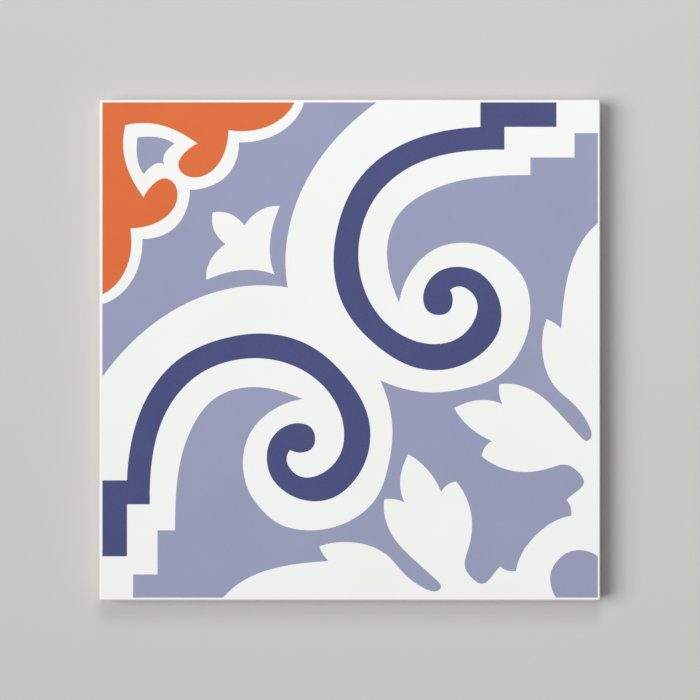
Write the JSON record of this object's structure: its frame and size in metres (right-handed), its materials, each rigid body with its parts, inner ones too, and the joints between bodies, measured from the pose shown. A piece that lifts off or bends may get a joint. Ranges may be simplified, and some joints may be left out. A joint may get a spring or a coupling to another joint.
{
  "type": "floor tile",
  "caption": "Square glazed ceramic floor tile with a scrolled leaf pattern mirrored about its diagonal, eased edges and a ribbed back for the adhesive bed.",
  "frame": {"origin": "middle of the back, in the plane of its ribs, on which the tile lies", "axes": "+Z out of the glazed face; +X and +Y along the sides, with the orange corner of the pattern at -X +Y"},
  "size_m": [0.2, 0.2, 0.0086],
  "materials": {
    "glazed_ceramic": "satin white glaze, with unglazed pale sides and back",
    "lavender_glaze": "satin lavender glaze printed on the white",
    "orange_glaze": "satin orange glaze printed on the white",
    "navy_glaze": "satin navy glaze printed on the white"
  },
  "bodies": {
    "root": {"floor_tile": "glazed_ceramic"}
  },
  "joints": []
}
